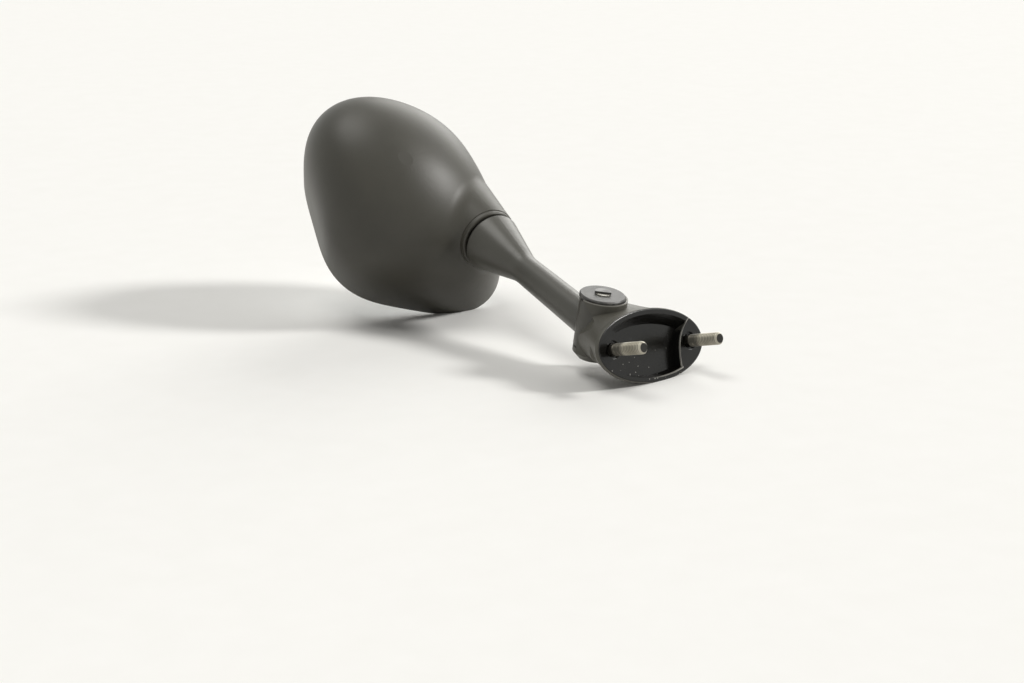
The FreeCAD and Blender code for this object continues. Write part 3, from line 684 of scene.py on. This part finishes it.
cap_paint, tree, out = new_material("cap_paint")
shader = principled(tree, out)
from_pivot = use(tree, axis_group, Point=PIVOT, Axis=PIVOT_AXIS)
blotches = noise(tree, object_place(tree), BLOTCH_SCALE)
worn_rim = product(tree, ramp(tree, from_pivot["Away"], *RIM_RADII),
                   ramp(tree, blotches, *WORN_EDGES))
tree.links.new(mix_colour(tree, worn_rim, *CAP_TONES), shader.inputs["Base Color"])
tree.links.new(between(tree, blotches, *CAP_ROUGHNESS), shader.inputs["Roughness"])
rings = calculate(tree, "SINE", product(tree, from_pivot["Away"], TURNED_RATE))
bumped(tree, shader, rings, strength=0.05, depth=0.00005)
dress(cap_paint, "pivot_cap")

# %% [markdown]
# The pin's end pokes through the cap with a step milled into one side, and that step is bare
# steel. It lies furthest towards its own side, which the axis group measures as a length.

# %% Pin finish
STEP_SIDE = (-0.6411, -0.6750, -0.3652)
STEP_RANGE = (0.00095, 0.0012)
PIN_TONES = ((0.035, 0.034, 0.032), (0.32, 0.31, 0.28))
PIN_ROUGHNESS = (0.3, 0.45)

pin_finish, tree, out = new_material("pin_finish")
shader = principled(tree, out)
sidewards = use(tree, axis_group, Point=PIVOT, Axis=STEP_SIDE)
milled = ramp(tree, sidewards["Along"], *STEP_RANGE)
handled = use(tree, handled_group, Scale=160.0)
tree.links.new(mix_colour(tree, milled, *PIN_TONES), shader.inputs["Base Color"])
tree.links.new(milled, shader.inputs["Metallic"])
tree.links.new(between(tree, handled["Patch"], *PIN_ROUGHNESS), shader.inputs["Roughness"])
dress(pin_finish, "pivot_pin")

# %% [markdown]
# ## Studs with their thread
# The solid studs are plain rods of the thread's outer size. The real ones are M6, so a new
# surface takes their place: a circle whose radius dips in a rounded wave that climbs one pitch in
# each turn. The dip fades out near the flange and at the bevelled end.

# %% Stud surface
STUD_SPACING = 0.050
STUD_RADIUS = 0.003
STUD_PROUD = 0.020
STUD_SUNK = 0.003
STUD_BEVEL = 0.0009
STUD_ROWS, STUD_COLUMNS = 277, 40
THREAD_PITCH = 0.001
THREAD_DEPTH = 0.00036
THREAD_CREST_POWER = 0.8
THREAD_START, THREAD_START_FADE = 0.0016, 0.0012
THREAD_END_FADE = 0.0006


def stud_grid(centre_x):
    """Rows along -Y, columns round it; radius = outer radius less depth x fade x dip.

    The dip is half of one plus the cosine of the climb in turns, raised to a power, and the bevel
    is a cone that caps the radius towards the end.
    """
    along = np.linspace(-STUD_SUNK, STUD_PROUD, STUD_ROWS)[:, None]
    turn = np.linspace(0.0, 2 * np.pi, STUD_COLUMNS, endpoint=False)[None, :]
    climb = along / THREAD_PITCH - turn / (2 * np.pi)
    dip = (0.5 + 0.5 * np.cos(2 * np.pi * climb)) ** THREAD_CREST_POWER
    fade_in = np.clip((along - THREAD_START) / THREAD_START_FADE, 0, 1)
    fade_out = np.clip((STUD_PROUD - THREAD_END_FADE - along) / THREAD_END_FADE, 0, 1)
    radius = STUD_RADIUS - THREAD_DEPTH * fade_in * fade_out * dip
    radius = np.minimum(radius, STUD_RADIUS - STUD_BEVEL + (STUD_PROUD - along))
    x = centre_x + radius * np.cos(turn)
    z = radius * np.sin(turn)
    return np.stack([x, np.broadcast_to(-along, x.shape), z], axis=-1)


studs = []
for name, side in (("stud_left", -0.5), ("stud_right", 0.5)):
    stud = surface(name, stud_grid(side * STUD_SPACING), closed_ends=True)
    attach(stud, "base")
    studs.append(stud)
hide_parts("mounting_studs")

# %% [markdown]
# Zinc plate goes dull and a little yellow. Dirt stays in the valleys of the thread, the stretch
# near the flange is darker, and the sawn ends have lost their plate and are almost black.

# %% Stud zinc
ZINC_TONES = ((0.24, 0.223, 0.18), (0.40, 0.376, 0.315))
ZINC_ROUGHNESS = (0.3, 0.45)
DIRT_TONE, DIRT_AMOUNT = (0.05, 0.046, 0.038), 0.75
DIRT_CLEAR = 0.00012
DIRT_RADII = (STUD_RADIUS - THREAD_DEPTH, STUD_RADIUS - DIRT_CLEAR)
ROOT_DARK_TONE, ROOT_DARK_AMOUNT = (0.06, 0.056, 0.048), (0.95, 0.55)
ROOT_DARK_REACH = (0.006, 0.0095)
SAWN_TONE = (0.035, 0.034, 0.032)
SAWN_FROM, SAWN_FULL = 0.00015, 0.00002
SAWN_REACH = (STUD_PROUD - SAWN_FROM, STUD_PROUD - SAWN_FULL)

stud_zinc, tree, out = new_material("stud_zinc")
shader = principled(tree, out, Metallic=1.0)
stud_x, stud_y, stud_z = split_place(tree)
from_flange = product(tree, stud_y, -1.0)
handled = use(tree, handled_group, Scale=90.0)
plate = mix_colour(tree, handled["Patch"], *ZINC_TONES)
across = calculate(tree, "SUBTRACT", calculate(tree, "ABSOLUTE", stud_x), STUD_SPACING / 2)
from_axis = calculate(tree, "SQRT", square_sum(tree, across, stud_z))
valley = product(tree, rest_of(tree, ramp(tree, from_axis, *DIRT_RADII)),
                 calculate(tree, "LESS_THAN", from_flange, STUD_PROUD - STUD_BEVEL), DIRT_AMOUNT)
dirty = mix_colour(tree, valley, plate, DIRT_TONE)
# Darker over the stretch near the flange, patchy along the streaks.
root_dark = product(tree, rest_of(tree, ramp(tree, from_flange, *ROOT_DARK_REACH)),
                between(tree, handled["Streak"], *ROOT_DARK_AMOUNT))
darker_at_root = mix_colour(tree, root_dark, dirty, ROOT_DARK_TONE)
sawn = mix_colour(tree, ramp(tree, from_flange, *SAWN_REACH), darker_at_root, SAWN_TONE)
tree.links.new(sawn, shader.inputs["Base Color"])
tree.links.new(between(tree, handled["Patch"], *ZINC_ROUGHNESS), shader.inputs["Roughness"])
for stud in studs:
    stud.data.materials.append(stud_zinc)
dress(stud_zinc, "mounting_studs")

# %% [markdown]
# ## Glass
# The glass is silvered on its back. A clear sheet over a mirror would be truer, but a smooth metal
# shows the same picture with less noise. Faint smears change its roughness more than its tone.

# %% Glass
SILVER_TONES = ((0.84, 0.86, 0.875), (0.88, 0.9, 0.91))
SILVER_ROUGHNESS = (0.02, 0.07)

silvered, tree, out = new_material("silvered_glass")
shader = principled(tree, out, Metallic=1.0)
handled = use(tree, handled_group, Scale=18.0)
tree.links.new(mix_colour(tree, handled["Patch"], *SILVER_TONES), shader.inputs["Base Color"])
tree.links.new(between(tree, handled["Streak"], *SILVER_ROUGHNESS), shader.inputs["Roughness"])
dress(silvered, "mirror_glass")

# %% [markdown]
# ## Hidden pieces
# The pieces inside the joints are seen through gaps at most, so they share a few plain finishes:
# zinc, spring steel, a dark greased ball, cast alloy, pale and dark plastic, and foam.

# %% Plain finishes
ROUGH_LESS, ROUGH_MORE = 0.05, 0.07
GRAIN_FINER = 12


def plain_finish(name, dark, light, rough, metal, scale):
    """Two close tones mixed by handling patches over a fine grain."""
    material, tree, out = new_material(name)
    shader = principled(tree, out, Metallic=metal)
    handled = use(tree, handled_group, Scale=scale)
    grain = use(tree, grain_group, Scale=scale * GRAIN_FINER)
    roughness = between(tree, handled["Streak"], rough - ROUGH_LESS, rough + ROUGH_MORE)
    tree.links.new(mix_colour(tree, handled["Patch"], dark, light), shader.inputs["Base Color"])
    tree.links.new(roughness, shader.inputs["Roughness"])
    bumped(tree, shader, grain["Height"], strength=0.1, depth=0.0002)
    return material


dress(plain_finish("fastener_zinc", (0.5, 0.48, 0.44), (0.62, 0.6, 0.56),
                   rough=0.38, metal=1.0, scale=120.0),
      "pivot_nut", "holder_screws", "socket_cover", "socket_screws")
dress(plain_finish("spring_steel", (0.26, 0.25, 0.24), (0.36, 0.35, 0.33),
                   rough=0.35, metal=1.0, scale=120.0),
      "spring_washers", "pressure_spring")
dress(plain_finish("ball_steel", (0.09, 0.085, 0.075), (0.22, 0.21, 0.19),
                   rough=0.32, metal=1.0, scale=80.0),
      "ball_stud")
dress(plain_finish("socket_alloy", (0.5, 0.5, 0.49), (0.6, 0.6, 0.59),
                   rough=0.5, metal=1.0, scale=80.0),
      "socket_body")
dress(plain_finish("pale_plastic", (0.62, 0.6, 0.54), (0.72, 0.7, 0.64),
                   rough=0.45, metal=0.0, scale=80.0),
      "ball_liner", "pressure_cup")
dress(plain_finish("dark_plastic", (0.02, 0.02, 0.019), (0.03, 0.03, 0.028),
                   rough=0.5, metal=0.0, scale=60.0),
      "upper_washer", "lower_washer", "glass_holder")
dress(plain_finish("pad_foam", (0.03, 0.03, 0.03), (0.05, 0.05, 0.048),
                   rough=0.85, metal=0.0, scale=90.0),
      "glass_pad")

# %% [markdown]
# ## Seal in the collar's groove
# Where the collar faces the flared arm, a thin dark seal keeps dirt out of the ball joint. It is a
# band of a sphere about the ball's centre, so the head turns round it at every angle without
# touching it, with a foot that reaches back into the cup of the arm. Its section is a closed loop
# of distances and angles from the ball, swept round the line from the ball to the fold pivot.

# %% Seal
BALL = np.array((-0.00073562, 0.11200018, 0.06195478))
SEAL_OUTER, SEAL_INNER = 0.0136, 0.0131
SEAL_ANGLES = (57.0, 80.0)
SEAL_STEPS, SEAL_COLUMNS = 12, 72
FOOT_REACH = 0.0167
FOOT_ANGLES = (46.0, 50.0)


def seal_grid():
    """Rows round the section, columns round the arm.

    Point = ball + distance x (cosine of the angle towards the pivot, sine of it sideways), with
    the sideways direction turned about the line to the pivot.
    """
    band = np.linspace(*SEAL_ANGLES, SEAL_STEPS)
    angle = np.radians(np.concatenate([FOOT_ANGLES[1:], band, band[::-1], FOOT_ANGLES[:1]]))
    distance = np.concatenate([[FOOT_REACH], np.full(SEAL_STEPS, SEAL_OUTER),
                               np.full(SEAL_STEPS, SEAL_INNER), [FOOT_REACH]])
    to_pivot = unit(np.array(PIVOT) - BALL)
    first_side = unit(np.cross(to_pivot, (1.0, 0.0, 0.0)))
    turn = -np.linspace(0.0, 2 * np.pi, SEAL_COLUMNS, endpoint=False)[:, None]
    sideways = np.cos(turn) * first_side + np.sin(turn) * np.cross(to_pivot, first_side)
    towards = (distance * np.cos(angle))[:, None, None] * to_pivot
    return BALL + towards + (distance * np.sin(angle))[:, None, None] * sideways


seal = surface("groove_seal", seal_grid(), ring=True)
seal.data.materials.append(plain_finish("seal_rubber", (0.012, 0.012, 0.011), (0.02, 0.02, 0.018),
                                        rough=0.6, metal=0.0, scale=70.0))
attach(seal, "arm")
